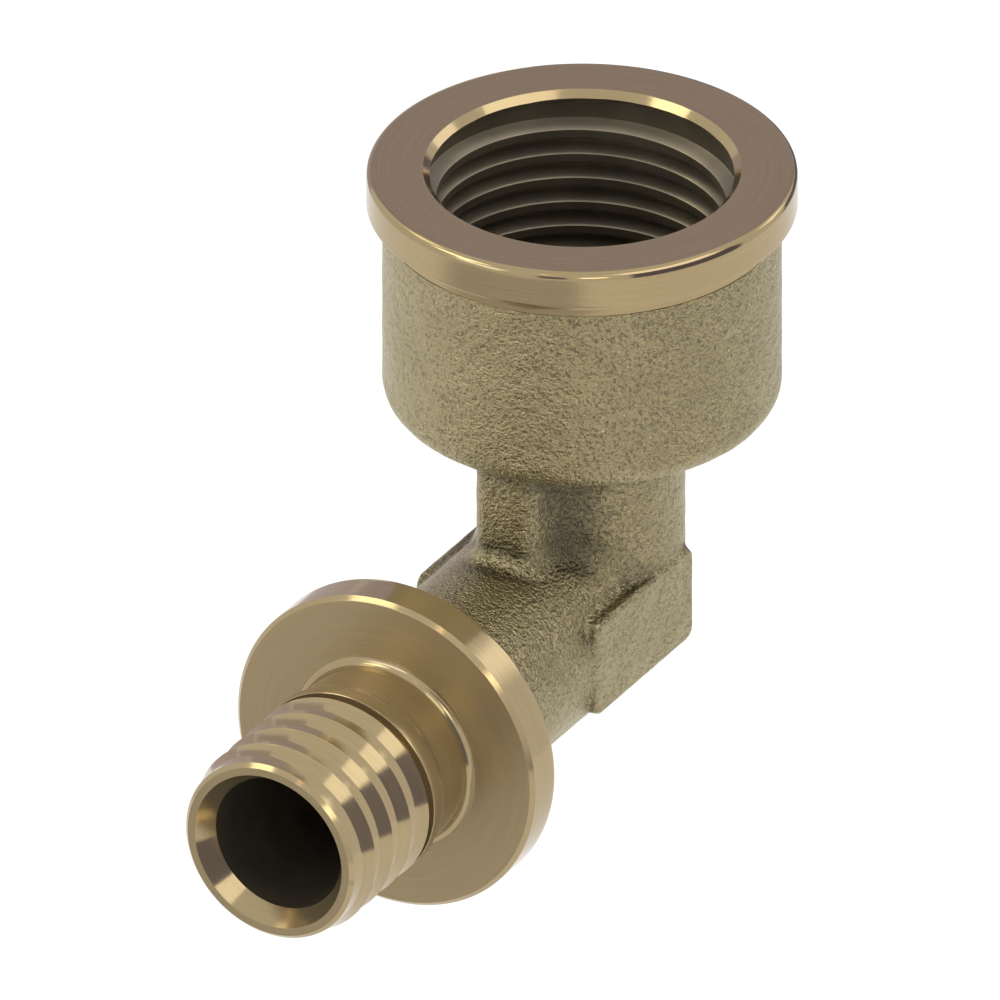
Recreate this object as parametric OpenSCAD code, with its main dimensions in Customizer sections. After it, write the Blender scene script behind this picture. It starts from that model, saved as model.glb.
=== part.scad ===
// Elbow for water pipe, turned and cast in one piece of brass.
// A threaded socket points up along +Z and a barbed spigot points along -Y.
// The origin is the point where the two axes cross.

/* [Socket] */
// Height from the spigot's axis to the flat face of the rim
socket_rise = 31.4; // [28:0.1:40]
// Height of the socket, from its underside to the flat face of the rim
socket_h = 17.4; // [17:0.1:19]
// Diameter of the cast socket
socket_d = 26.3; // [25:0.1:27.4]
// Radius of the socket's rounded lower edge
socket_round = 1.9; // [0.5:0.1:3]
// Diameter of the turned rim
rim_d = 28.4; // [28:0.1:32]
// Height of the turned rim
rim_h = 2.6; // [1.5:0.1:4]
// Radius of the rim's rounded upper edge
rim_round = 0.5; // [0.2:0.05:1]
// Part of the step under the rim that the tool leaves as a hollow curve
rim_cove = 0.85; // [0.3:0.05:0.95]

/* [Thread] */
// Diameter over the thread's crests, which is the hole that is bored first
thread_minor_d = 19.16; // [18.66:0.1:19.16]
// Diameter at the thread's roots
thread_major_d = 20.955; // [20.855:0.05:21.055]
// Distance from one turn to the next
thread_pitch = 1.8143; // [1.7143:0.05:1.9143]
// Depth of the thread below the rim
thread_depth = 13.2; // [11:0.1:13.8]
// Depth of the bored hole below the rim
hole_depth = 15.4; // [15:0.1:16]
// Diameter of the chamfer at the socket's mouth
mouth_d = 21; // [21:0.1:22]

/* [Neck and spigot tube] */
// Diameter of the cast neck and of the cast tube that meets it
neck_d = 13.6; // [13:0.1:15]
// Bore of the neck
neck_bore_d = 10; // [9:0.1:10.5]
// Radius of the hollow corner between neck and socket
neck_fillet = 0.5; // [0.2:0.1:1.2]
// Inside radius of the bend between neck and tube
bend_round = 1.6; // [1:0.1:3]
// Thickness of the rib in the bend's inner corner
rib_w = 4.6; // [3:0.1:6]
// Distance from the neck's axis to the rib's front
rib_reach = 10.85; // [9:0.05:13]
// Radius of the hollow corner at the rib's foot, on the tube
rib_foot = 1.5; // [0.5:0.1:2]
// Radius of the rib's front edges
rib_round = 0.9; // [0.4:0.1:1.2]
// Radius of the hollow corners beside the rib
rib_fillet = 1.8; // [0.8:0.1:2.2]

/* [Wrench pads] */
// Distance across the two flat pads
pad_across = 13.8; // [13.8:0.1:16]
// Height of a pad
pad_h = 6.9; // [5:0.1:9]
// Length of a pad in front of the neck's axis
pad_front = 10.1; // [8:0.1:12]
// Length of a pad behind the neck's axis
pad_back = 2.85; // [1:0.05:5]
// Radius of a pad's corners
pad_round = 0.9; // [0.3:0.1:2]

/* [Collar] */
// Distance from the neck's axis to the front of the collar
collar_front = 26; // [24:0.1:32]
// Thickness of the collar
collar_t = 2.9; // [2:0.1:4]
// Diameter of the collar
collar_d = 22.6; // [20:0.1:26]
// Chamfer on the collar's front edge
collar_chamfer = 0.3; // [0.1:0.05:0.6]
// Radius of the hollow corner between collar and hub
collar_fillet = 0.5; // [0.2:0.05:0.8]

/* [Spigot] */
// Distance from the neck's axis to the spigot's end
spigot_end = 41.3; // [41:0.1:50]
// Diameter of the spigot's bore
spigot_bore_d = 9.5; // [8:0.1:9.6]
// Diameter of the bore's chamfer at the end face
spigot_mouth_d = 11.15; // [10.5:0.05:11.4]
// Depth of the bore's chamfer
spigot_mouth_depth = 1.35; // [0.5:0.05:2]
// Diameter of the spigot between its barbs
stem_d = 12.8; // [12.6:0.05:13]
// Chamfer at the spigot's end
nose_chamfer = 0.28; // [0.1:0.02:0.4]
// Diameter over the barbs and the stop shoulder
barb_d = 13.66; // [13.4:0.02:14]
// Number of barbs
barb_count = 4; // [2:1:4]
// Distance from one barb to the next
barb_pitch = 2.34; // [2:0.01:2.4]
// Length of a barb's ramp
barb_ramp = 1; // [0.6:0.05:1.4]
// Distance from the spigot's end to the edge of the first barb
barb_start = 2.33; // [1.8:0.01:2.6]
// Gap between the last barb and the stop shoulder
shoulder_gap = 0.7; // [0.4:0.05:1]
// Length of the stop shoulder
shoulder_w = 1; // [0.6:0.05:1.5]

/* [Hidden] */
$fn = 96;

rim_r = rim_d / 2;
socket_r = socket_d / 2;
neck_r = neck_d / 2;
stem_r = stem_d / 2;
barb_r = barb_d / 2;
collar_r = collar_d / 2;
crest_r = thread_minor_d / 2;
root_r = thread_major_d / 2;
mouth_r = mouth_d / 2;

// Whitworth form: flanks at 27.5 degrees, crest and root a sixth of the pitch
flank = 27.5;
root_w = thread_pitch / 6;
// The cutter starts above the mouth, at this angle, and reaches a little inside the crests
cutter_lead = 1.65;
cutter_reach = 0.12;
cutter_turn = 120;
steps_per_turn = 36;
thread_turns = (thread_depth + cutter_lead) / thread_pitch;
thread_steps = ceil(thread_turns * steps_per_turn);
// The tap's lead leaves the last turn shallow
fade_steps = steps_per_turn;

drill_point = 59;
bend_r = neck_r + bend_round;
rib_half = rib_w / 2;
shoulder_front = spigot_end - barb_start - (barb_count - 1) * barb_pitch - shoulder_gap;
shoulder_back = shoulder_front - shoulder_w;
shoulder_ramp = barb_ramp;
// Cuts run this far past the faces they open
past = 1;

// Corner sliver that turns a sharp inside corner at [0, 0] into a hollow curve
module hollow(r) {
    difference() {
        square(r);
        translate([r, r]) circle(r);
    }
}

// Half outline of the rim, the socket and the neck, radius against height below the rim
module socket_outline() {
    neck_low = -socket_rise;
    difference() {
        union() {
            translate([0, -rim_h]) square([rim_r, rim_h]);
            translate([0, -socket_h]) square([socket_r, socket_h - rim_h / 2]);
            translate([0, neck_low]) square([neck_r, socket_rise - socket_h / 2]);
            translate([socket_r, -rim_h]) mirror([0, 1]) hollow(rim_cove);
            translate([neck_r, -socket_h]) mirror([0, 1]) hollow(neck_fillet);
        }
        translate([rim_r, 0]) rotate(180) hollow(rim_round);
        translate([socket_r, -socket_h]) mirror([1, 0]) hollow(socket_round);
    }
}

// Half outline of the tube, the collar and the barbed spigot, radius against length
module spigot_outline() {
    barbs = [for (i = [0 : barb_count - 1]) let (edge = spigot_end - barb_start - i * barb_pitch)
        each [[stem_r, edge + barb_ramp], [barb_r, edge], [stem_r, edge]]];
    polygon(concat(
        [[0, spigot_end], [stem_r - nose_chamfer, spigot_end], [stem_r, spigot_end - nose_chamfer]],
        barbs,
        [[stem_r, shoulder_front], [barb_r, shoulder_front], [barb_r, shoulder_back],
         [stem_r, shoulder_back - shoulder_ramp], [stem_r, collar_front],
         [collar_r - collar_chamfer, collar_front], [collar_r, collar_front - collar_chamfer],
         [collar_r, collar_front - collar_t], [neck_r, collar_front - collar_t], [neck_r, 0], [0, 0]]));
    translate([stem_r, collar_front]) hollow(collar_fillet);
}

// Turns an outline about the spigot's axis, which is the Y axis here, towards -Y
module turned_on_spigot() {
    rotate([90, 0, 0]) rotate_extrude() children();
}

// Section across the rib and the hollow corners that join it to a round of neck_r
module rib_section(reach) {
    centre_x = rib_half + rib_fillet;
    centre_y = sqrt(pow(neck_r + rib_fillet, 2) - pow(centre_x, 2));
    difference() {
        translate([-rib_half, 0]) square([rib_w, reach]);
        for (side = [-1, 1])
            translate([side * rib_half, reach]) rotate(side > 0 ? 180 : 270) hollow(rib_round);
    }
    for (side = [0, 1]) mirror([side, 0, 0]) difference() {
        polygon([[0, 0], [centre_x, centre_y], [rib_half, centre_y]]);
        translate([centre_x, centre_y]) circle(rib_fillet);
    }
}

// Rib in the inner corner of the bend, from the tube up to the socket, with a hollow foot
module rib() {
    rib_h = socket_rise - socket_h + neck_fillet;
    tube_top = sqrt(pow(neck_r, 2) - pow(rib_half, 2));
    mirror([0, 1, 0]) {
        linear_extrude(rib_h) rib_section(rib_reach);
        intersection() {
            linear_extrude(rib_h) rib_section(rib_reach + rib_foot);
            rotate([90, 0, 90]) linear_extrude(rib_w, center = true) {
                square([rib_reach + rib_foot, tube_top]);
                translate([rib_reach, tube_top]) hollow(rib_foot);
            }
        }
    }
}

// Two flat pads for a wrench, one on each side of the bend
module pads() {
    length = pad_front + pad_back;
    rotate([90, 0, 90]) linear_extrude(pad_across, center = true)
        translate([-pad_front, -pad_h / 2]) difference() {
            square([length, pad_h]);
            hollow(pad_round);
            translate([length, 0]) rotate(90) hollow(pad_round);
            translate([length, pad_h]) rotate(180) hollow(pad_round);
            translate([0, pad_h]) rotate(270) hollow(pad_round);
        }
}

// Quarter of a ring that rounds the inside of the bend, tangent to the neck and the tube
module inner_bend() {
    translate([0, -bend_r, bend_r]) rotate([0, 90, 0])
        rotate_extrude(angle = 90) translate([bend_r, 0]) circle(neck_r);
}

// Hole for the thread, with its chamfered mouth and flat floor, and the neck's bore
module socket_hole() {
    chamfer = mouth_r - crest_r;
    rotate_extrude() polygon([[0, past], [mouth_r + past, past], [mouth_r, 0],
        [crest_r, -chamfer], [crest_r, -hole_depth], [0, -hole_depth]]);
}

// Helical cutter for the thread: one section of the groove at every step of a turn
module thread_cutter() {
    function fade(i) = min(1, (thread_steps - i) / fade_steps);
    function section(i) = let (
            inner = crest_r - cutter_reach,
            leave = crest_r - cutter_reach / 2,
            tip = leave + (root_r - leave) * fade(i),
            half_tip = root_w / 2,
            half_inner = half_tip + (tip - inner) * tan(flank))
        [[inner, -half_inner], [tip, -half_tip], [tip, half_tip], [inner, half_inner]];
    points = [for (i = [0 : thread_steps]) let (
            a = cutter_turn - 360 * i / steps_per_turn,
            z = cutter_lead - thread_pitch * i / steps_per_turn)
        for (p = section(i)) [p[0] * cos(a), p[0] * sin(a), z + p[1]]];
    sides = [for (i = [0 : thread_steps - 1]) for (k = [0 : 3]) let (
            a = 4 * i + k, b = 4 * i + (k + 1) % 4)
        each [[a, b + 4, b], [a, a + 4, b + 4]]];
    last = 4 * thread_steps;
    ends = [[0, 1, 2, 3], [last + 3, last + 2, last + 1, last]];
    polyhedron(points, concat(sides, ends));
}

// Water way: two drilled holes that meet, each with the cone of its drill
module water_way() {
    neck_top = socket_rise - hole_depth + past;
    rotate_extrude() polygon([[0, neck_top], [neck_bore_d / 2, neck_top],
        [neck_bore_d / 2, 0], [0, -neck_bore_d / 2 / tan(drill_point)]]);
    turned_on_spigot() polygon([
        [0, spigot_end + past], [spigot_mouth_d / 2, spigot_end + past], [spigot_mouth_d / 2, spigot_end],
        [spigot_bore_d / 2, spigot_end - spigot_mouth_depth], [spigot_bore_d / 2, 0],
        [0, -spigot_bore_d / 2 / tan(drill_point)]]);
}

module elbow_body() {
    color("#b59a62") difference() {
        union() {
            translate([0, 0, socket_rise]) rotate_extrude() socket_outline();
            turned_on_spigot() spigot_outline();
            sphere(neck_r);
            inner_bend();
            rib();
            pads();
        }
        translate([0, 0, socket_rise]) socket_hole();
        translate([0, 0, socket_rise]) thread_cutter();
        water_way();
    }
}

elbow_body();
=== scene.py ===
# %% [markdown]
# # A brass elbow for water pipe
# The real fitting is one piece of brass. It is cast (or forged) roughly to shape, and
# then a lathe cuts the rim, the thread, the collar and the barbed spigot out of it.
# The scene is made the same way: a rough casting first, then the turned forms, then
# the drilled holes, all joined into one closed mesh. Everything is in the frame of the
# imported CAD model: +Z runs up the threaded socket, -Y runs out along the spigot, and
# the two axes cross at the origin. Sizes are written in millimetres. "Height" is
# measured up the socket's axis and "reach" out along the spigot's axis.

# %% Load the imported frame
import math

import bpy
import numpy as np
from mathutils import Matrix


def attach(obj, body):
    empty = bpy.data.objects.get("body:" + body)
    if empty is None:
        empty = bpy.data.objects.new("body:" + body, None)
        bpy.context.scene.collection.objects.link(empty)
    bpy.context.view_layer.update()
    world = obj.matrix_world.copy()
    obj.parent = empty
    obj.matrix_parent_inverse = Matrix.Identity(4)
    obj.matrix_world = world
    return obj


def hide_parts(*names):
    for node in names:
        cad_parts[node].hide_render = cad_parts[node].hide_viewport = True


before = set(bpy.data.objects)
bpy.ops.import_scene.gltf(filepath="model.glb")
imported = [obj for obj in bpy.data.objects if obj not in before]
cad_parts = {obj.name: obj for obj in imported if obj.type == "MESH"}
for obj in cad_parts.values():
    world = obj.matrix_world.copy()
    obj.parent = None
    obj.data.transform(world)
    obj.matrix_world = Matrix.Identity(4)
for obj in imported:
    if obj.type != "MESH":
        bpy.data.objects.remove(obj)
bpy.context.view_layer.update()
MM = 0.001

# %% [markdown]
# ## The rough casting
# A casting has no sharp corner: every edge and every inner corner is rounded, because
# the metal has to leave its mould. It could be modelled with bevels on joined solids,
# but bevels break where many forms meet. The easiest way is to describe each form by a
# distance (how far a point lies outside it) and to join the distances with a round
# blend. A mesh is then laid over the points where the distance is zero.

# %% Distances to simple rounded forms
def rounded_box(offsets, halves, radius):
    """Distance to a box with rounded edges. Each offset is measured from its centre."""
    over = [np.abs(o) - (h - radius) for o, h in zip(offsets, halves)]
    outside = np.sqrt(sum(np.maximum(o, 0) ** 2 for o in over))
    inside = np.minimum(np.maximum.reduce(over), 0)
    return outside + inside - radius


def drum(radial, along, radius, low, high, edge):
    """Distance to a round bar with rounded ends, from radius and place on its axis."""
    middle, half = (low + high) / 2, (high - low) / 2
    return rounded_box((radial, along - middle), (radius, half), edge)


def blend(a, b, radius):
    """Joins two forms, with a hollow fillet of that radius where they meet."""
    corner = np.sqrt(np.maximum(radius - a, 0) ** 2 + np.maximum(radius - b, 0) ** 2)
    return np.maximum(radius, np.minimum(a, b)) - corner


# %% [markdown]
# ### The neck, the tube and the rib
# The neck and the tube are round bars of one thickness that meet in the ball of the
# bend. The rib stands in the inner corner between them, and stiffens it.

# %% Distances to the neck, the tube and the rib
NECK_R = 6.8
RIB_HALF, RIB_REACH, RIB_EDGE = 2.3, 10.85, 1.3


def pillar(x, y, z):
    """The neck and the tube, each a round bar that ends in the ball of the bend."""
    neck = np.sqrt(x**2 + y**2 + np.minimum(z, 0) ** 2) - NECK_R
    tube = np.sqrt(x**2 + z**2 + np.maximum(y, 0) ** 2) - NECK_R
    return neck, tube


def rib_bar(x, y, z):
    section = rounded_box((x, y + RIB_REACH / 2), (RIB_HALF, RIB_REACH / 2), RIB_EDGE)
    return np.maximum(section, -z)


# %% [markdown]
# ### The pads
# A wrench holds the bend by two flat pads, one on each side. Each is the end of one
# bar with rounded corners that runs through the bend from side to side.

# %% Distance to the pads
PAD_HALF_WIDTH, PAD_HALF_HEIGHT = 6.9, 3.45
PAD_FRONT, PAD_BACK, PAD_CORNER, PAD_EDGE = -10.1, 2.8, 0.9, 0.35


def wrench_pads(x, y, z):
    section = rounded_box((y - (PAD_FRONT + PAD_BACK) / 2, z),
                          ((PAD_BACK - PAD_FRONT) / 2, PAD_HALF_HEIGHT), PAD_CORNER) + PAD_EDGE
    side = np.abs(x) - PAD_HALF_WIDTH + PAD_EDGE
    outside = np.sqrt(np.maximum(section, 0) ** 2 + np.maximum(side, 0) ** 2)
    return outside - PAD_EDGE + np.minimum(np.maximum(section, side), 0)


# %% [markdown]
# ### The whole casting
# The socket is a drum with a rounded foot on top of the neck. A few crossed waves, two
# hundredths of a millimetre high, keep the skin from looking machined. The casting goes
# on a little way into the rim and the collar, so that the solids overlap when joined.

# %% Distance to the whole casting
RIM_TOP = 31.4
SOCKET_R, SOCKET_LOW, SOCKET_ROUND = 13.15, 14.0, 1.9
SKIM_LOW, SKIM_LAP = 27.6, 0.4
NECK_END, TUBE_END = 24.0, 24.6
RIB_BLEND, BEND_BLEND, BEND_BLEND_REACH = 2.1, 1.1, 4.0
PAD_BLEND, SOCKET_BLEND = 0.35, 0.6
WAVE = 0.02


def waves(x, y, z):
    long_ones = (np.sin(1.3 * x + 0.7 * z) * np.sin(1.1 * y - 0.9 * z + 1)
                 * np.sin(1.7 * z + 0.6 * x))
    return long_ones + 0.6 * np.sin(2.9 * x + 1.7 * y) * np.sin(3.1 * z - 1.3 * y)


def casting(x, y, z):
    neck, tube = pillar(x, y, z)
    in_corner = np.clip(np.minimum(z, -y) / BEND_BLEND_REACH, 0, 1)
    body = blend(blend(neck, rib_bar(x, y, z), RIB_BLEND), tube, BEND_BLEND * in_corner)
    body = blend(body, wrench_pads(x, y, z), PAD_BLEND)
    body = np.maximum(body, z - NECK_END)
    socket = drum(np.sqrt(x**2 + y**2), z, SOCKET_R, SOCKET_LOW, RIM_TOP, SOCKET_ROUND)
    socket = np.maximum(socket, z - SKIM_LOW - SKIM_LAP)
    body = blend(body, socket, SOCKET_BLEND)
    return np.maximum(body + WAVE * waves(x, y, z), -y - TUBE_END)


# %% [markdown]
# ### Laying a mesh over the casting
# A grid of points is thrown over the form. Each grid cell that the surface passes
# through gets one vertex, and the four cells round each crossed grid line get a face
# between them.

# %% Net of quads over a distance field
def net(distance, low, high, cell):
    axes = [np.arange(a, b + cell, cell) for a, b in zip(low, high)]
    inside = distance(*np.meshgrid(*axes, indexing="ij")) < 0
    shape = np.array(inside.shape) - 1
    total = np.zeros(shape, int)
    for corner in np.ndindex(2, 2, 2):
        total += inside[tuple(slice(c, c + n) for c, n in zip(corner, shape))]
    crossed = (total > 0) & (total < 8)
    number = np.full(shape, -1)
    number[crossed] = np.arange(crossed.sum())
    points = np.array(low) + (np.argwhere(crossed) + 0.5) * cell
    faces = []
    for axis in range(3):
        first = [slice(0, n) for n in inside.shape]
        second = list(first)
        first[axis], second[axis] = slice(0, -1), slice(1, None)
        starts, ends = inside[tuple(first)], inside[tuple(second)]
        across = [a for a in range(3) if a != axis]
        for begins in (True, False):
            edge = np.argwhere((starts == begins) & (ends != begins))
            edge = edge[np.all([(edge[:, a] > 0) & (edge[:, a] < inside.shape[a] - 1)
                                for a in across], axis=0)]
            ring = []
            for da, db in ((-1, -1), (0, -1), (0, 0), (-1, 0)):
                at = edge.copy()
                at[:, across[0]] += da
                at[:, across[1]] += db
                ring.append(number[tuple(at.T)])
            faces_outward = begins == (axis != 1)
            faces.append(np.stack(ring if faces_outward else ring[::-1], axis=1))
    return points, np.concatenate(faces)


# %% [markdown]
# ### Pulling the mesh onto the surface
# The slope of the distance says which way the surface lies. A few Newton steps along
# it pull every vertex exactly onto the surface, and no vertex may leave its own cell.

# %% Slope of a distance, and the pull onto its surface
SLOPE_STEP = 0.01
PULL_ROUNDS, LONGEST_STEP, LONGEST_WAY = 6, 0.4, 0.75


def gradient(distance, points):
    slopes = []
    for axis in range(3):
        ahead, behind = points.copy(), points.copy()
        ahead[:, axis] += SLOPE_STEP
        behind[:, axis] -= SLOPE_STEP
        slopes.append((distance(*ahead.T) - distance(*behind.T)) / (2 * SLOPE_STEP))
    return np.stack(slopes, axis=1)


def newton_step(distance, points):
    slope = gradient(distance, points)
    size = np.maximum((slope**2).sum(axis=1), 1e-6)
    return distance(*points.T)[:, None] * slope / size[:, None]


def pull_onto(distance, points, cell):
    home = points.copy()
    for _ in range(PULL_ROUNDS):
        step = newton_step(distance, points)
        points = points - np.clip(step, -LONGEST_STEP * cell, LONGEST_STEP * cell)
        points = home + np.clip(points - home, -LONGEST_WAY * cell, LONGEST_WAY * cell)
    return points


# %% [markdown]
# ### Evening out the mesh
# The net's quads are uneven where the surface runs aslant through the grid. Each vertex
# moves half way towards the middle of its neighbours, and back onto the surface.

# %% Relax the net
def relax(distance, points, faces, rounds):
    for _ in range(rounds):
        total = np.zeros_like(points)
        count = np.zeros(len(points))
        for a, b in ((0, 1), (1, 2), (2, 3), (3, 0)):
            for one, other in ((a, b), (b, a)):
                np.add.at(total, faces[:, one], points[faces[:, other]])
                np.add.at(count, faces[:, one], 1)
        points = 0.5 * points + 0.5 * total / np.maximum(count, 1)[:, None]
        points = points - newton_step(distance, points)
    return points


# %% [markdown]
# ## Solids with a finish
# The real elbow is one brass with four surfaces: raw skin, the lathe's two, and the
# bores. Every solid below is made with all four materials in its list and uses one of
# them, so the joined mesh knows for each face which tool made it.

# %% The four finishes, in the order that the joined mesh keeps them
FINISHES = ("cast brass", "turned rim", "turned spigot", "bored brass")
finish = {name: bpy.data.materials.new(name.replace(" ", "_")) for name in FINISHES}


def solid(name, points, faces, finish_name):
    mesh = bpy.data.meshes.new(name)
    mesh.from_pydata((points * MM).tolist(), [], [tuple(int(i) for i in f) for f in faces])
    for each in FINISHES:
        mesh.materials.append(finish[each])
    mesh.polygons.foreach_set("material_index", [FINISHES.index(finish_name)] * len(faces))
    mesh.validate()
    mesh.update()
    thing = bpy.data.objects.new(name, mesh)
    bpy.context.scene.collection.objects.link(thing)
    print(name, len(mesh.vertices), "points", len(mesh.polygons), "faces")
    return thing


# %% [markdown]
# ### The rough casting as a solid
# A cell of 0.3 mm is fine enough for the smallest fillet and still light to render.

# %% Make the casting
CELL, RELAX_ROUNDS = 0.3, 4
cast_points, cast_faces = net(casting, (-14, -25.2, -7.5), (14, 14, 28.6), CELL)
cast_points = pull_onto(casting, cast_points, CELL)
cast_points = relax(casting, cast_points, cast_faces, RELAX_ROUNDS)
elbow = solid("rough_casting", cast_points, cast_faces, "cast brass")

# %% [markdown]
# ## The turned and drilled forms
# A lathe can only make one kind of shape: an outline turned round an axis. So each
# turned form is an outline of (radius, distance along the axis), with its rounded
# edges drawn as short arcs, spun in even steps into a closed solid. A row of points a
# little beyond each arc keeps the flat next to it evenly shaded.

# %% Outlines, arcs and turned solids
ROW, NEAR_ROW = 0.2, 0.15


def arc(centre, radius, start, end, pieces):
    """Points of an arc, with its angles in degrees, as (radius, distance) pairs."""
    turns = np.radians(np.linspace(start, end, pieces + 1))
    return [(centre[0] + radius * math.cos(t), centre[1] + radius * math.sin(t)) for t in turns]


def turned(outline, steps=192):
    """A closed solid from an outline whose first and last points lie on the axis."""
    spin = np.linspace(0, 2 * math.pi, steps, endpoint=False)
    rings = outline[1:-1]
    points = [(0, 0, outline[0][1])]
    for radius, along in rings:
        points += [(radius * math.cos(t), radius * math.sin(t), along) for t in spin]
    points.append((0, 0, outline[-1][1]))
    faces, last = [], len(points) - 1
    for i in range(steps):
        j = (i + 1) % steps
        faces.append((0, 1 + j, 1 + i))
        for k in range(len(rings) - 1):
            a, b = 1 + k * steps, 1 + (k + 1) * steps
            faces.append((a + i, a + j, b + j, b + i))
        a = 1 + (len(rings) - 1) * steps
        faces.append((a + i, a + j, last))
    return np.array(points), faces


def onto_spigot(points):
    """Turns points that were made round +Z so that they run out along -Y."""
    return np.stack([points[:, 0], -points[:, 2], points[:, 1]], axis=1)


# %% [markdown]
# ### The turned rim
# The lathe takes the raw skin off a little way below the rim, so a narrow bright band
# shows there, as on the real one. A tool with a round nose leaves the hollow above it.

# %% Make the rim, and the ring of raw skin that the tool takes off below it
RIM_LOW, RIM_R, RIM_ROUND, RIM_EDGE = 28.8, 14.2, 0.5, 0.06
COVE, SKIM = 0.85, 0.05
MOUTH_R = 10.5
rim_foot = SKIM_LOW - 0.6
rim_outline = [(0, rim_foot), (SOCKET_R - SKIM, rim_foot)]
rim_outline += arc((SOCKET_R - SKIM + COVE, RIM_LOW - COVE), COVE, 180, 90, 8)
rim_outline += arc((RIM_R - RIM_EDGE, RIM_LOW + RIM_EDGE), RIM_EDGE, -90, 0, 2)
rim_outline += [(RIM_R, RIM_LOW + ROW), (RIM_R, RIM_TOP - RIM_ROUND - NEAR_ROW)]
rim_outline += arc((RIM_R - RIM_ROUND, RIM_TOP - RIM_ROUND), RIM_ROUND, 0, 90, 10)
rim_outline += [(RIM_R - RIM_ROUND - NEAR_ROW, RIM_TOP), (MOUTH_R + 0.5, RIM_TOP), (0, RIM_TOP)]
rim = solid("rim", *turned(rim_outline), "turned rim")
skin_cut = solid("skin_cut", *turned(
    [(0, SKIM_LOW), (RIM_R + 1, SKIM_LOW), (RIM_R + 1, RIM_TOP), (0, RIM_TOP)]), "turned rim")

# %% [markdown]
# ### The collar
# The collar stops the sleeve that is pressed over the pipe, and the hollow corner at
# its foot is polished by the tool. It is drawn from its back face out to the hub.

# %% Outline of the collar and the hub
COLLAR_BACK, COLLAR_FRONT, COLLAR_R = 23.1, 26.0, 11.3
COLLAR_CHAMFER, COLLAR_BACK_ROUND, HUB_FILLET = 0.3, 0.15, 0.62
STEM_R = 6.4
spigot_outline = [(0, COLLAR_BACK), (NECK_R - 1, COLLAR_BACK)]
spigot_outline += arc((COLLAR_R - COLLAR_BACK_ROUND, COLLAR_BACK + COLLAR_BACK_ROUND),
                      COLLAR_BACK_ROUND, -90, 0, 3)
spigot_outline += [(COLLAR_R, COLLAR_BACK + 2 * ROW),
                   (COLLAR_R, COLLAR_FRONT - COLLAR_CHAMFER - ROW),
                   (COLLAR_R, COLLAR_FRONT - COLLAR_CHAMFER),
                   (COLLAR_R - COLLAR_CHAMFER, COLLAR_FRONT),
                   (COLLAR_R - COLLAR_CHAMFER - ROW, COLLAR_FRONT),
                   (STEM_R + HUB_FILLET + ROW, COLLAR_FRONT)]
spigot_outline += arc((STEM_R + HUB_FILLET, COLLAR_FRONT + HUB_FILLET), HUB_FILLET, 270, 180, 10)
spigot_outline += [(STEM_R, COLLAR_FRONT + HUB_FILLET + ROW)]

# %% [markdown]
# ### The barbed spigot
# Each barb is a square step that holds the pipe and a ramp that the pipe slides up
# easily. Behind them a slope rises from the hub to the shoulder that stops the pipe.
# Every corner is broken by a few hundredths of a millimetre, as a tool leaves it.

# %% Outline of the shoulder and the barbs, and the solid
BARB_R, BARB_RAMP = 6.83, 1.0
BARB_TIPS = (31.95, 34.29, 36.63, 38.97)
HUB_END, SHOULDER_BACK, SHOULDER_FRONT, GROOVE_DEEP = 29.2, 30.26, 31.25, 0.15
NOSE, NOSE_CHAMFER = 41.3, 0.28
spigot_outline += [(STEM_R, HUB_END - 0.3), (STEM_R + 0.02, HUB_END - 0.02),
                   (STEM_R + 0.1, HUB_END + 0.22),
                   (BARB_R - 0.05, SHOULDER_BACK - 0.1), (BARB_R, SHOULDER_BACK + 0.1),
                   (BARB_R, SHOULDER_FRONT - 0.04), (BARB_R - 0.04, SHOULDER_FRONT),
                   (STEM_R - GROOVE_DEEP, SHOULDER_FRONT)]
for tip in BARB_TIPS:
    foot = STEM_R - GROOVE_DEEP if tip == BARB_TIPS[0] else STEM_R
    spigot_outline += [(foot, tip), (BARB_R - 0.02, tip), (BARB_R, tip + 0.02),
                       (STEM_R + 0.03, tip + 0.93 * BARB_RAMP), (STEM_R, tip + 1.1 * BARB_RAMP)]
spigot_outline += [(STEM_R, NOSE - NOSE_CHAMFER), (STEM_R - NOSE_CHAMFER, NOSE), (0, NOSE)]
points, faces = turned(spigot_outline)
spigot = solid("spigot", onto_spigot(points), faces, "turned spigot")

# %% [markdown]
# ### The form of the thread
# The thread is one long groove that climbs 1.8 mm in every turn. Its form along one
# turn is a slope between a crest and a root, both rounded. The tap's lead leaves the
# last turn of the groove shallow, and under the mouth's chamfer the first crest is cut
# back to the depth of the groove, so that the pipe finds its way in.

# %% Radius of the threaded hole
CREST_R, ROOT_R, PITCH = 9.58, 10.4775, 1.8143
CREST_SHARE, ROOT_SHARE = 0.159, 0.083
THREAD_LOW, FULL_CREST_HIGH, CREST_FADE = 18.2, 29.45, 0.4
MOUTH_CHAMFER, RELIEF_HIGH = 0.48, 30.5


def groove(turn):
    """Depth of the groove from 0 at a crest to 1 at a root, with both rounded."""
    away = np.abs((turn + 0.5) % 1 - 0.5)
    slope = np.clip((away - CREST_SHARE) / (0.5 - ROOT_SHARE - CREST_SHARE), 0, 1)
    return 0.8 * slope + 0.2 * slope * slope * (3 - 2 * slope)


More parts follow.
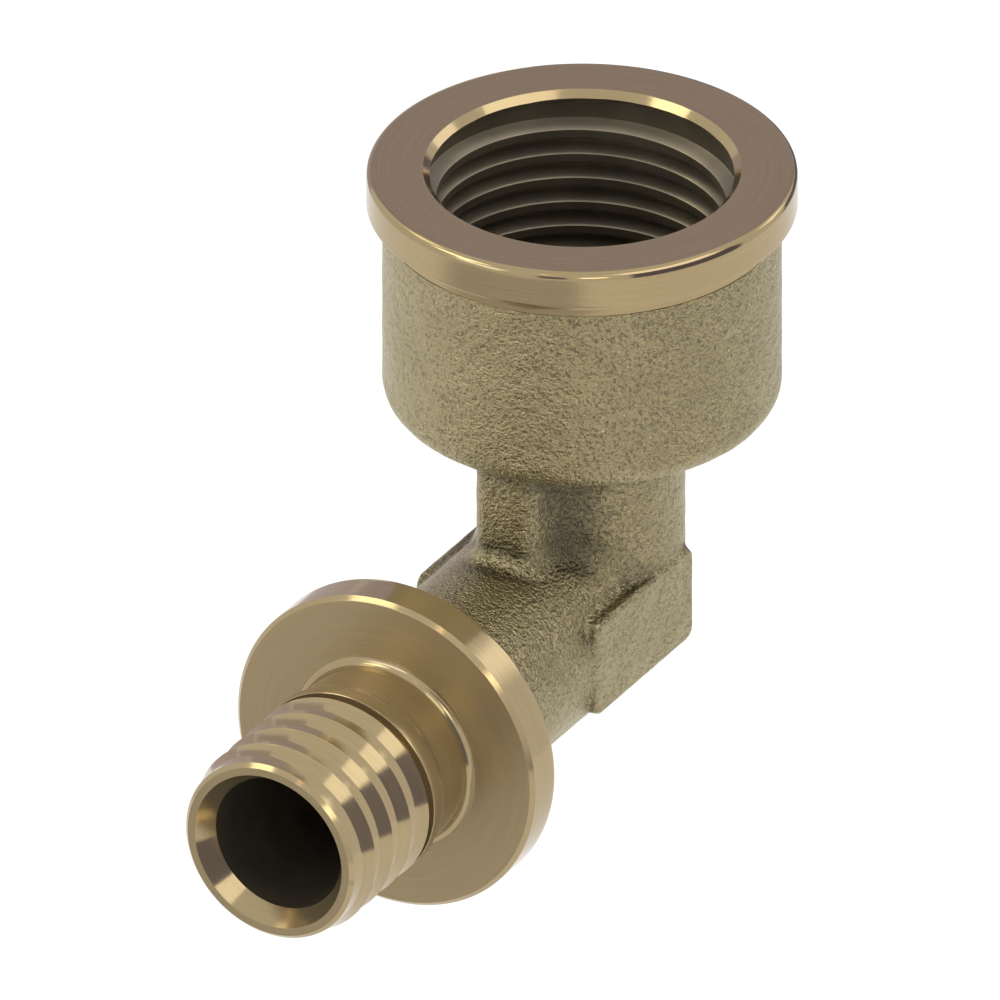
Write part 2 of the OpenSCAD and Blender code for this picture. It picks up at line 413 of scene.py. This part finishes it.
def hole_radius(turn, height):
    root_height = height + (0.5 - turn % 1) * PITCH
    full = np.clip((root_height - THREAD_LOW) / PITCH, 0, 1)
    threaded = CREST_R + (ROOT_R - CREST_R) * groove(turn) * full
    chamfer_low = RIM_TOP - MOUTH_CHAMFER
    lip = np.clip((height - RELIEF_HIGH) / (chamfer_low - RELIEF_HIGH), 0, 1)
    relief = ROOT_R + (MOUTH_R - MOUTH_CHAMFER - ROOT_R) * lip
    crest_height = height - (turn - np.floor(turn + 0.5)) * PITCH
    cut_back = np.clip((crest_height - FULL_CREST_HIGH) / CREST_FADE, 0, 1)
    return threaded + (relief - threaded) * cut_back


# %% [markdown]
# ### The threaded hole
# The hole is made as rings of points that climb with the groove, so that every ring
# follows one line of the thread. A ring that would pass the mouth or the floor is
# pressed flat there, and points that fall together become one, so the solid is closed.
# The end of each ring meets the start of the ring one turn further up.

# %% Make the threaded hole and the mouth's chamfer
HOLE_LOW, HOLE_TOP, HOLE_STEPS = 16.0, RIM_TOP + 1, 144
THREAD_PHASE = 0.0641
TURN_STOPS = (0, 0.08, 0.13, 0.155, 0.175, 0.2, 0.27, 0.34, 0.39, 0.415, 0.44,
              0.5, 0.56, 0.585, 0.61, 0.66, 0.73, 0.8, 0.825, 0.845, 0.87, 0.92)


def threaded_hole():
    turns = math.ceil((HOLE_TOP - HOLE_LOW) / PITCH) + 2
    lines = np.array([turn + stop for turn in range(-1, turns) for stop in TURN_STOPS])[:, None]
    spin = np.linspace(0, 2 * math.pi, HOLE_STEPS + 1)
    climb = (spin / (2 * math.pi))[None, :]
    height = HOLE_LOW + (lines - 0.5 + climb + THREAD_PHASE) * PITCH
    height = np.clip(height, HOLE_LOW, HOLE_TOP)
    radius = hole_radius(lines + 0 * climb, height)
    radius = np.where(height > HOLE_TOP - 0.001, MOUTH_R + 0.5, radius)
    rings = np.stack([radius * np.cos(spin), radius * np.sin(spin), height], axis=2)
    points, where = np.unique(np.round(rings.reshape(-1, 3), 6), axis=0, return_inverse=True)
    where = where.reshape(rings.shape[:2])
    faces = []
    for a, b in zip(where[:-1], where[1:]):
        for i in range(HOLE_STEPS):
            loop = []
            for p in (a[i], a[i + 1], b[i + 1], b[i]):
                if p not in loop:
                    loop.append(p)
            if len(loop) > 2:
                faces.append(tuple(loop))
    floor_centre, top_centre = len(points), len(points) + 1
    points = np.vstack([points, [(0, 0, HOLE_LOW), (0, 0, HOLE_TOP)]])
    for i in range(HOLE_STEPS):
        faces.append((floor_centre, where[0][i + 1], where[0][i]))
        faces.append((top_centre, where[-1][i], where[-1][i + 1]))
    return points, faces


tapping = solid("threaded_hole", *threaded_hole(), "bored brass")
cone_low, cone_high = 2, 1
mouth_cut = solid("mouth_cut", *turned(
    [(0, RIM_TOP - cone_low), (MOUTH_R - cone_low, RIM_TOP - cone_low),
     (MOUTH_R + cone_high, RIM_TOP + cone_high), (0, RIM_TOP + cone_high)]), "turned rim")

# %% [markdown]
# ### The water way
# Two drills meet in the bend, and each leaves the cone of its point. The spigot's
# hole is opened out with a countersink, so that the water meets no step.

# %% Make the two drilled holes
NECK_BORE_R, SPIGOT_BORE_R = 5.0, 4.75
DRILL_POINT = math.radians(59)
COUNTERSINK_R, COUNTERSINK_DEPTH = 5.58, 1.35
countersink_start = NOSE - COUNTERSINK_DEPTH
neck_drill = solid("neck_drill", *turned(
    [(0, -NECK_BORE_R / math.tan(DRILL_POINT)), (NECK_BORE_R, 0),
     (NECK_BORE_R, HOLE_LOW + 0.5), (0, HOLE_LOW + 0.5)], 96), "bored brass")
points, faces = turned(
    [(0, -SPIGOT_BORE_R / math.tan(DRILL_POINT)), (SPIGOT_BORE_R, 0),
     (SPIGOT_BORE_R, countersink_start - 0.3), (SPIGOT_BORE_R, countersink_start),
     (COUNTERSINK_R, NOSE), (COUNTERSINK_R + 0.3, NOSE + 0.5), (0, NOSE + 0.5)], 160)
spigot_drill = solid("spigot_drill", onto_spigot(points), faces, "bored brass")
for face in spigot_drill.data.polygons:
    if -face.center.y / MM > countersink_start:
        face.material_index = FINISHES.index("turned spigot")


# %% [markdown]
# ## One piece of brass
# The casting, the rim and the spigot are joined, and the holes are taken out, so that
# one closed mesh is left, with no hidden walls inside it.

# %% Join and drill
def combine(target, other, how):
    step = target.modifiers.new(how, "BOOLEAN")
    step.operation, step.solver, step.object = how, "MANIFOLD", other
    bpy.context.view_layer.update()
    result = bpy.data.meshes.new_from_object(
        target.evaluated_get(bpy.context.evaluated_depsgraph_get()))
    target.modifiers.clear()
    target.data = result
    bpy.data.objects.remove(other)


combine(elbow, skin_cut, "DIFFERENCE")
for part in (rim, spigot):
    combine(elbow, part, "UNION")
for drill in (tapping, mouth_cut, neck_drill, spigot_drill):
    combine(elbow, drill, "DIFFERENCE")
elbow.name = elbow.data.name = "elbow"
print("joined:", len(elbow.data.vertices), "points,", len(elbow.data.polygons), "faces")

# %% [markdown]
# ### Corners and shading
# Curved surfaces are shaded smooth, and an edge that turns by more than 24 degrees
# stays a true corner. The casting's own formula knows which way its surface faces, far
# more evenly than a net of small flat faces does. So the shading there takes its
# direction from the formula, and the lathe's surfaces keep the mesh's own.

# %% Set the corners, name what the piece stands for, and even the casting's shading
elbow.data.shade_smooth()
elbow.data.set_sharp_from_angle(angle=math.radians(24))
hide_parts("elbow_body")
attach(elbow, "root")


def vertex_places(mesh):
    places = np.empty(len(mesh.vertices) * 3)
    mesh.vertices.foreach_get("co", places)
    return places.reshape(-1, 3) / MM


def even_shading(mesh):
    count = len(mesh.loops)
    normals = np.empty(count * 3)
    mesh.corner_normals.foreach_get("vector", normals)
    normals = normals.reshape(-1, 3)
    corner_vertex = np.empty(count, int)
    mesh.loops.foreach_get("vertex_index", corner_vertex)
    finish_of, corners_of = np.empty((2, len(mesh.polygons)), int)
    mesh.polygons.foreach_get("material_index", finish_of)
    mesh.polygons.foreach_get("loop_total", corners_of)
    is_cast = np.repeat(finish_of == FINISHES.index("cast brass"), corners_of)
    slope = gradient(casting, vertex_places(mesh)[corner_vertex[is_cast]])
    normals[is_cast] = slope / np.linalg.norm(slope, axis=1, keepdims=True)
    mesh.normals_split_custom_set(normals.tolist())
    print("corners shaded from the formula:", int(is_cast.sum()), "of", count)


even_shading(elbow.data)

# %% [markdown]
# ### How shut in each point is
# Hollows of a casting stay darker than its open faces, because less light gets in.
# The render finds that light by itself, and the colour is darkened there as well:
# that is painted shade. So each vertex gets a number: how little free space there is
# a short way in front of it, with some more beside the rib. The finish paints shade
# with it below.

# %% Note how shut in each point of the casting is, for the painted shade
SHUT_IN_REACHES = (0.8, 2.0, 4.5)
RIB_SHADE, RIB_SHADE_REACH = 0.5, 3.0


def note_painted_shade(mesh):
    """0 in the open, and 1 or more deep in a corner."""
    places = vertex_places(mesh)
    slope = gradient(casting, places)
    facing = slope / np.maximum(np.linalg.norm(slope, axis=1, keepdims=True), 1e-6)
    total = np.zeros(len(places))
    for reach in SHUT_IN_REACHES:
        x, y, z = (places + facing * reach).T
        collar = drum(np.sqrt(x**2 + z**2), -y, COLLAR_R, COLLAR_BACK, COLLAR_FRONT, 0.2)
        free = np.minimum(casting(x, y, z), collar)
        total += np.clip(1 - free / reach, 0, 1) / len(SHUT_IN_REACHES)
    x, y, z = places.T
    beside_rib = np.maximum(pillar(x, y, z)[0], rib_bar(x, y, z))
    # Painted shade in the valley beside the rib, on the neck below the socket.
    total += RIB_SHADE * np.clip(1 - beside_rib / RIB_SHADE_REACH, 0, 1) * (z < SOCKET_LOW)
    note = mesh.attributes.new("shut in", "FLOAT", "POINT")
    note.data.foreach_set("value", total)
    print("shut in: mean", round(float(total.mean()), 3), "most", round(float(total.max()), 3))


note_painted_shade(elbow.data)

# %% [markdown]
# ## Finishes
# Small helpers first: they add a node, set its values and join it to the others, so
# that each finish below can be read like a recipe.

# %% Helpers for nodes
def add_node(tree, kind, **options):
    node = tree.nodes.new("ShaderNode" + kind)
    for name, value in options.items():
        setattr(node, name, value)
    return node


def feed(tree, node, **sources):
    """Fills inputs by name, or by number as in i0: a socket is joined, a value is set."""
    for name, source in sources.items():
        key = int(name[1:]) if name[0] == "i" and name[1:].isdigit() else name.replace("_", " ")
        if isinstance(source, bpy.types.NodeSocket):
            tree.links.new(source, node.inputs[key])
        else:
            node.inputs[key].default_value = source
    return node


def calc(tree, operation, a, b=0.0, clamp=False):
    node = add_node(tree, "Math", operation=operation, use_clamp=clamp)
    return feed(tree, node, i0=a, i1=b).outputs[0]


def times(tree, a, b):
    return calc(tree, "MULTIPLY", a, b)


def plus(tree, a, b):
    return calc(tree, "ADD", a, b)


def ramp(tree, value, low, high, to_low=0.0, to_high=1.0):
    """A smooth step of a value from low to high."""
    node = add_node(tree, "MapRange", interpolation_type="SMOOTHSTEP")
    feed(tree, node, Value=value, From_Min=low, From_Max=high, To_Min=to_low, To_Max=to_high)
    return node.outputs["Result"]


def mix(tree, share, a, b):
    node = add_node(tree, "Mix", data_type="RGBA")
    return feed(tree, node, i0=share, i6=a, i7=b).outputs[2]


def noise(tree, place, per_mm, detail=2.0, rough=0.5, twist=0.0):
    """Noise with so many waves to the millimetre."""
    node = add_node(tree, "TexNoise", noise_dimensions="3D")
    in_metres = isinstance(per_mm, bpy.types.NodeSocket)
    size = times(tree, per_mm, 1 / MM) if in_metres else per_mm / MM
    return feed(tree, node, Vector=place, Scale=size, Detail=detail, Roughness=rough,
                Distortion=twist).outputs["Fac"]


# %% [markdown]
# ### Effects that finishes share
# An effect that more than one finish uses is a node group: a small machine with named
# inputs and outputs. It gives out only what varies from place to place.

# %% Helpers for node groups
def new_group(name, inputs, outputs):
    """An empty node group with its named sockets, each given as (name, kind, default)."""
    group = bpy.data.node_groups.new(name, "ShaderNodeTree")
    for side, sockets in (("INPUT", inputs), ("OUTPUT", outputs)):
        for label, kind, default in sockets:
            socket = group.interface.new_socket(
                label, in_out=side, socket_type="NodeSocket" + kind)
            if default is not None:
                socket.default_value = default
    inlet = group.nodes.new("NodeGroupInput").outputs
    return group, inlet, group.nodes.new("NodeGroupOutput").inputs


def place_group(tree, group, **sources):
    node = tree.nodes.new("ShaderNodeGroup")
    node.node_tree = group
    return feed(tree, node, **sources).outputs


# %% [markdown]
# ### The skin of a casting
# Molten brass takes the print of the mould's grains: low round bumps with short dark
# creases between them, and here and there a bright speck. The creases' darkness is
# partly painted shade. It could be sculpted, but many thousands of bumps would be
# needed, so they are made by noise that bends the shading. One noise makes the bumps,
# its low places are the creases, and a slower noise breaks the creases up, so that they
# come and go as on the real skin.

# %% Group for the cast skin
cast_skin, inlet, outlet = new_group(
    "cast skin",
    [("Place", "Vector", None), ("Bumps per mm", "Float", 4.0), ("Creases", "Float", 0.5)],
    [("Height", "Float", None), ("Crease mask", "Float", None), ("Speck mask", "Float", None),
     ("Tone", "Float", None)])
place, per_mm = inlet["Place"], inlet["Bumps per mm"]
bumps = noise(cast_skin, place, per_mm, 1.0, 0.5, 0.7)
fine = noise(cast_skin, place, times(cast_skin, per_mm, 2.3), 1.0)
breaks = noise(cast_skin, place, times(cast_skin, per_mm, 0.35), 1.0)
patches = noise(cast_skin, place, 0.3, 2.0)
crease = ramp(cast_skin, bumps, 0.36, 0.47, 1.0, 0.0)
crease = times(cast_skin, crease, ramp(cast_skin, breaks, 0.35, 0.6, 0.45, 1.0))
crease = times(cast_skin, crease, inlet["Creases"])
height = plus(cast_skin, bumps, times(cast_skin, fine, 0.3))
height = calc(cast_skin, "SUBTRACT", height, times(cast_skin, crease, 0.12))
specks = ramp(cast_skin, noise(cast_skin, place, 5.5, 0.0), 0.76, 0.82)
for label, value in (("Height", height), ("Crease mask", crease), ("Speck mask", specks),
                     ("Tone", patches)):
    cast_skin.links.new(value, outlet[label])
print("cast skin:", len(cast_skin.nodes), "nodes")

# %% [markdown]
# ### The marks of a lathe
# A lathe's tool leaves a very fine thread of rings, and between them the metal is
# satin, with faint streaks that run round the part. The rings follow the tool's path,
# which is the distance from the axis less the place along it. The streaks are noise
# that is stretched round the axis, so they catch the light as real turning does.

# %% Group for the marks of a lathe
lathe_marks, inlet, outlet = new_group(
    "lathe marks",
    [("Across 1", "Float", 0.0), ("Across 2", "Float", 0.0), ("Along", "Float", 0.0),
     ("Feed in mm", "Float", 0.09)],
    [("Height", "Float", None), ("Streaks", "Float", None), ("Satin", "Float", None)])


def polar(tree, one, other):
    """Distance from the axis and angle round it."""
    radial = calc(tree, "SQRT", plus(tree, times(tree, one, one), times(tree, other, other)))
    return radial, calc(tree, "ARCTAN2", other, one)


radial, angle = polar(lathe_marks, inlet["Across 1"], inlet["Across 2"])
path = calc(lathe_marks, "DIVIDE", calc(lathe_marks, "SUBTRACT", radial, inlet["Along"]), MM)
turns = calc(lathe_marks, "DIVIDE", path, inlet["Feed in mm"])
rings = calc(lathe_marks, "SINE", times(lathe_marks, turns, 2 * math.pi))
stretched = feed(lathe_marks, add_node(lathe_marks, "CombineXYZ"),
                 X=times(lathe_marks, path, 5.0), Y=calc(lathe_marks, "SINE", angle),
                 Z=calc(lathe_marks, "COSINE", angle)).outputs[0]
streaks = feed(lathe_marks, add_node(lathe_marks, "TexNoise", noise_dimensions="3D"),
               Vector=stretched, Scale=1.6, Detail=3.0, Roughness=0.6).outputs["Fac"]
whole = feed(lathe_marks, add_node(lathe_marks, "CombineXYZ"), X=inlet["Across 1"],
             Y=inlet["Across 2"], Z=inlet["Along"]).outputs[0]
satin = noise(lathe_marks, whole, 7.0, 2.0, 0.6)
height = plus(lathe_marks, times(lathe_marks, rings, 0.2), streaks)
height = plus(lathe_marks, height, times(lathe_marks, satin, 0.2))
for label, value in (("Height", height), ("Streaks", streaks), ("Satin", satin)):
    lathe_marks.links.new(value, outlet[label])
print("lathe marks:", len(lathe_marks.nodes), "nodes")

# %% [markdown]
# ### Four finishes of one brass
# It is the same metal everywhere. What differs is how much of the light each surface
# scatters: the raw skin most, the lathe's surfaces least, and the bores in between.
# The turned and bored surfaces are a little less than wholly metallic: a thin film of
# tarnish and oil scatters some light from any side, so they never look black.

# %% Start a finish with its shader and its bump
def open_finish(name, bump_mm, metal=1.0):
    material = finish[name]
    material.use_nodes = True
    tree = material.node_tree
    shader = tree.nodes["Principled BSDF"]
    shader.inputs["Metallic"].default_value = metal
    bump = feed(tree, add_node(tree, "Bump"), Strength=1.0, Distance=bump_mm * MM)
    tree.links.new(bump.outputs["Normal"], shader.inputs["Normal"])
    place = add_node(tree, "TexCoord").outputs["Object"]
    return tree, shader, bump, place


# %% [markdown]
# ### Cast brass
# The raw skin is a dull olive gold. Its colour drifts a little from patch to patch,
# the creases are darker, partly as grain and partly as painted shade, and the hollows
# are painted browner and darker than the open faces, as painted shade.

# %% Make the cast brass
CAST_LIGHT, CAST_DARK = (0.38, 0.32, 0.178, 1), (0.355, 0.30, 0.165, 1)
CREASE_GRAIN_AND_SHADE_COLOUR, SPECK_COLOUR = (0.15, 0.125, 0.08, 1), (0.75, 0.66, 0.45, 1)
PAINTED_SHADE_COLOUR = (0.13, 0.112, 0.07, 1)
tree, shader, bump, place = open_finish("cast brass", 0.18)
skin = place_group(tree, cast_skin, Place=place, Bumps_per_mm=3.4, Creases=0.9)
colour = mix(tree, ramp(tree, skin["Tone"], 0.3, 0.7), CAST_DARK, CAST_LIGHT)
# The creases' darker colour is the skin's grain and partly painted shade.
colour = mix(tree, times(tree, skin["Crease mask"], 0.62), colour, CREASE_GRAIN_AND_SHADE_COLOUR)
colour = mix(tree, times(tree, skin["Speck mask"], 0.4), colour, SPECK_COLOUR)
# Painted shade: the more shut in a point is, the darker and browner its colour.
corners = add_node(tree, "Attribute", attribute_name="shut in").outputs["Fac"]
colour = mix(tree, ramp(tree, corners, 0.0, 0.42, 0.0, 0.85), colour, PAINTED_SHADE_COLOUR)
roughness = calc(tree, "SUBTRACT", ramp(tree, skin["Tone"], 0.3, 0.7, 0.4, 0.34),
                 times(tree, skin["Speck mask"], 0.2))
feed(tree, shader, Base_Color=colour, Roughness=roughness)
feed(tree, bump, Height=skin["Height"])

# %% [markdown]
# ### Turned brass
# The rim is turned round the socket's axis and the spigot round its own, so the same
# marks are laid twice, each time round the right axis. Masks made from the distance
# to that axis say where a face is satin and where an edge is bright.

# %% Helpers for turned brass
TURNED_LIGHT, TURNED_DARK = (0.385, 0.30, 0.165, 1), (0.355, 0.27, 0.148, 1)
TURNED_BUMP, ROUGH_SPREAD = 0.0012, 0.03


def turned_finish(name, across, along, metal):
    tree, shader, bump, place = open_finish(name, TURNED_BUMP, metal)
    parts = feed(tree, add_node(tree, "SeparateXYZ"), Vector=place).outputs
    one, other = parts[across[0]], parts[across[1]]
    marks = place_group(tree, lathe_marks, Across_1=one, Across_2=other, Along=parts[along])
    colour = mix(tree, ramp(tree, marks["Streaks"], 0.3, 0.7), TURNED_DARK, TURNED_LIGHT)
    feed(tree, shader, Base_Color=colour)
    feed(tree, bump, Height=marks["Height"])
    radial, _ = polar(tree, one, other)
    spread = ramp(tree, marks["Satin"], 0.3, 0.7, -ROUGH_SPREAD, ROUGH_SPREAD)
    return tree, shader, radial, parts[along], spread


def band(tree, value, low, high, soft=0.05):
    """1 between two sizes in mm and 0 outside them."""
    rises = ramp(tree, value, (low - soft) * MM, low * MM)
    falls = ramp(tree, value, high * MM, (high + soft) * MM, 1.0, 0.0)
    return times(tree, rises, falls)


def set_roughness(tree, shader, bright, satin_masks, spread):
    """The roughness of the bright edges, plus a share for each satin mask."""
    total = bright
    for mask, more in satin_masks:
        total = plus(tree, times(tree, mask, more), total)
    feed(tree, shader, Roughness=plus(tree, total, spread))


# %% [markdown]
# ### The rim and the spigot
# The rim's top and sides are satin, and its rounded edges are bright. On the spigot the
# collar's faces are the dullest, the hub is a little dull, and the barbs and the
# hollow corner are bright, because the tool rubs hardest there.

# %% Make the turned rim and the turned spigot
tree, shader, radial, along, spread = turned_finish("turned rim", "XY", "Z", 0.9)
faces = band(tree, radial, MOUTH_R, RIM_R - RIM_ROUND)
sides = band(tree, along, RIM_LOW, RIM_TOP - RIM_ROUND)
set_roughness(tree, shader, 0.11, [(faces, 0.12), (sides, 0.08)], spread)

tree, shader, radial, along, spread = turned_finish("turned spigot", "XZ", "Y", 0.75)
face = times(tree, band(tree, radial, STEM_R + HUB_FILLET, COLLAR_R - COLLAR_CHAMFER),
             band(tree, along, -COLLAR_FRONT - 0.1, 0))
hub = times(tree, band(tree, along, -SHOULDER_FRONT, -COLLAR_FRONT - HUB_FILLET),
            band(tree, radial, 0, BARB_R + 0.1))
set_roughness(tree, shader, 0.13, [(face, 0.25), (hub, 0.05)], spread)

# %% [markdown]
# ### Bored brass
# The tap and the drills rub more than they cut, so the bores scatter the light more
# evenly than the lathe's surfaces do. Their colour is darker and greyer than the
# lathe's brass: painted shade for the dim light deep in the holes. The grain is the
# casting's, but much finer and almost without creases.

# %% Make the bored brass
# Both bore colours are darker and greyer than the lathe's brass: painted shade.
BORED_SHADED_DARK, BORED_SHADED_LIGHT = (0.21, 0.18, 0.135, 1), (0.265, 0.225, 0.165, 1)
tree, shader, bump, place = open_finish("bored brass", 0.004, 0.86)
skin = place_group(tree, cast_skin, Place=place, Bumps_per_mm=6.0, Creases=0.2)
colour = mix(tree, ramp(tree, skin["Tone"], 0.3, 0.7), BORED_SHADED_DARK, BORED_SHADED_LIGHT)
shader.inputs["Roughness"].default_value = 0.34
feed(tree, shader, Base_Color=colour)
feed(tree, bump, Height=skin["Height"])

# %% [markdown]
# ## Camera
# The picture is taken without perspective, from 30 degrees to the right of the
# spigot and just under 30 degrees above it. The scale and the place of the origin in
# the picture say how wide the camera sees and where it aims.

# %% Place the camera
AZIMUTH, ELEVATION = math.radians(30.0), math.radians(29.75)
PICTURE, PIXELS_PER_MM = 1000, 15.2
ORIGIN_PIXEL = (582.1, 582.2)
CAMERA_DISTANCE = 220
right = np.array([math.cos(AZIMUTH), math.sin(AZIMUTH), 0])
toward = np.array([math.sin(AZIMUTH) * math.cos(ELEVATION),
                   -math.cos(AZIMUTH) * math.cos(ELEVATION), math.sin(ELEVATION)])
up = np.cross(toward, right)
aim = (right * (PICTURE / 2 - ORIGIN_PIXEL[0])
       + up * (ORIGIN_PIXEL[1] - PICTURE / 2)) / PIXELS_PER_MM
camera = bpy.data.objects.new("camera", bpy.data.cameras.new("camera"))
bpy.context.scene.collection.objects.link(camera)
camera.data.type = "ORTHO"
camera.data.ortho_scale = PICTURE / PIXELS_PER_MM * MM
camera.location = tuple((aim + toward * CAMERA_DISTANCE) * MM)
camera.rotation_euler = (math.pi / 2 - ELEVATION, 0, AZIMUTH)
camera.data.clip_start, camera.data.clip_end = 0.01, 5
bpy.context.scene.camera = camera
print("the camera sees", round(PICTURE / PIXELS_PER_MM, 1), "mm")

# %% [markdown]
# ## Studio
# Brass shows its surroundings more than its own colour, so they matter: a pale floor
# below and a plain white room all round. The part is held by its socket well above
# the floor, so its shadow falls wide and soft, below the picture. The floor glows a
# little, but only to the camera, to reflections and to clear glass, and so it looks
# white without putting more light on the part.

# %% Floor
FLOOR, FLOOR_REACH, FLOOR_SIDES = -75, 260, 96
PAPER, FLOOR_GLOW = (0.68, 0.68, 0.68, 1), 0.3
floor_mesh = bpy.data.meshes.new("floor")
around = np.linspace(0, 2 * math.pi, FLOOR_SIDES, endpoint=False)
floor_mesh.from_pydata(
    [(FLOOR_REACH * math.cos(t) * MM, FLOOR_REACH * math.sin(t) * MM, FLOOR * MM)
     for t in around], [], [tuple(range(FLOOR_SIDES))])
floor = bpy.data.objects.new("floor", floor_mesh)
bpy.context.scene.collection.objects.link(floor)
paper = bpy.data.materials.new("white_paper")
paper.use_nodes = True
floor_mesh.materials.append(paper)


def seen(tree):
    """1 where the camera, a reflection or clear glass looks straight at a surface."""
    path = add_node(tree, "LightPath").outputs
    total = plus(tree, path["Is Camera Ray"], path["Is Glossy Ray"])
    return calc(tree, "ADD", total, path["Is Transmission Ray"], True)


tree = paper.node_tree
feed(tree, tree.nodes["Principled BSDF"], Base_Color=PAPER, Roughness=1.0,
     Emission_Color=(1, 1, 1, 1), Emission_Strength=times(tree, seen(tree), FLOOR_GLOW))

# %% [markdown]
# ### The room
# The world is the room: plain white from every side, at a strength of 1.

# %% A plain white room all round
world = bpy.data.worlds.new("white_room")
world.use_nodes = True
bpy.context.scene.world = world
feed(world.node_tree, world.node_tree.nodes["Background"], Color=(1, 1, 1, 1), Strength=1.0)


# %% [markdown]
# ### Cards
# Bright metal in an all-white room would look flat. So a photographer stands grey and
# dark cards round it, out of the picture, and the metal shows them as dark bands. Each
# curved card is a piece of a large ball round the part, given by the directions that
# it covers. A grey sheet also lies on the floor, where the upright faces mirror it. The
# cards are for reflections alone, so neither the camera nor the soft light sees them.

# %% Stand the cards round the part
CARD_DISTANCE, CARD_COLUMNS, CARD_ROWS = 440, 16, 8
SHEET_LIFT = 0.5


def stand(name, points, faces, colour):
    mesh = bpy.data.meshes.new(name)
    mesh.from_pydata(points, [], faces)
    card = bpy.data.objects.new(name, mesh)
    bpy.context.scene.collection.objects.link(card)
    card.visible_camera = card.visible_diffuse = card.visible_shadow = False
    material = bpy.data.materials.new(name)
    material.use_nodes = True
    tree = material.node_tree
    feed(tree, tree.nodes["Principled BSDF"], Base_Color=(0, 0, 0, 1), Roughness=1.0,
         Emission_Color=(*colour, 1), Emission_Strength=1.0)
    mesh.materials.append(material)
    print("card", name)


def curved_card(name, azimuths, elevations, colour):
    turns = np.radians(np.linspace(*azimuths, CARD_COLUMNS + 1))
    rises = np.radians(np.linspace(*elevations, CARD_ROWS + 1))
    size = CARD_DISTANCE * MM
    points = [(size * math.cos(e) * math.cos(a), size * math.cos(e) * math.sin(a),
               size * math.sin(e)) for e in rises for a in turns]
    row = CARD_COLUMNS + 1
    faces = [(i * row + j, i * row + j + 1, (i + 1) * row + j + 1, (i + 1) * row + j)
             for i in range(CARD_ROWS) for j in range(CARD_COLUMNS)]
    stand(name, points, faces, colour)


curved_card("dark_card_right", (-35, 27), (-17, 36), (0.09, 0.08, 0.2))
curved_card("dark_card_behind", (64, 122), (-17, 13), (0.16, 0.14, 0.22))
curved_card("brown_card_back", (128, 162), (-17, 14), (0.6, 0.53, 0.6))
curved_card("dark_card_front", (-82, -68), (0, 30), (0.16, 0.14, 0.22))
curved_card("grey_card_back", (84, 160), (16, 50), (0.49, 0.45, 0.6))
sheet_corners = [(-140, -235), (95, -235), (95, -85), (-140, -85)]
stand("grey_sheet", [(x * MM, y * MM, (FLOOR + SHEET_LIFT) * MM) for x, y in sheet_corners],
      [(0, 1, 2, 3)], (0.61, 0.61, 0.63))


# %% [markdown]
# ### Lamps
# Large soft panels light the part from all sides, and a few smaller lamps make the
# bright lines along its edges. Each is given by where it stands, how large it is and
# how bright it looks, so its power follows from its area.

# %% Lamps and soft panels
LAMP_DISTANCE = 500


def lamp(name, azimuth, elevation, width, height, radiance, colour):
    """A rectangle of light that faces the part. Its radiance is how bright it looks."""
    az, el = math.radians(azimuth), math.radians(elevation)
    where = np.array([math.cos(el) * math.cos(az), math.cos(el) * math.sin(az), math.sin(el)])
    light = bpy.data.lights.new(name, "AREA")
    light.shape, light.size, light.size_y = "RECTANGLE", width * MM, height * MM
    light.energy = radiance * math.pi * width * height * MM**2
    light.color = colour
    thing = bpy.data.objects.new(name, light)
    thing.location = tuple(where * LAMP_DISTANCE * MM)
    thing.rotation_euler = (math.pi / 2 - el, 0, az + math.pi / 2)
    thing.visible_camera = False
    bpy.context.scene.collection.objects.link(thing)
    print(name, "power", round(light.energy, 3), "W")


lamp("left_lamp", -138, 46, 190, 150, 3.2, (1.0, 0.97, 0.72))
lamp("right_lamp", -54, 25, 110, 110, 3.2, (1.0, 0.97, 0.72))
lamp("top_lamp", -83, 51, 30, 60, 2.0, (1.0, 0.7, 0.4))
lamp("back_lamp", -178, 49, 120, 120, 1.8, (1.0, 0.88, 0.56))
lamp("soft_panel", 61, 27, 150, 160, 1.3, (1.0, 0.98, 0.95))
lamp("side_panel", -4, 52, 400, 230, 1.4, (1.0, 0.98, 0.9))
lamp("front_panel", -115, 25, 210, 160, 2.0, (0.82, 0.86, 1.0))

# %% [markdown]
# ## The end
# Colours are shown as they are written, without a film look.

# %% Settings of the view
bpy.context.scene.view_settings.view_transform = "Standard"
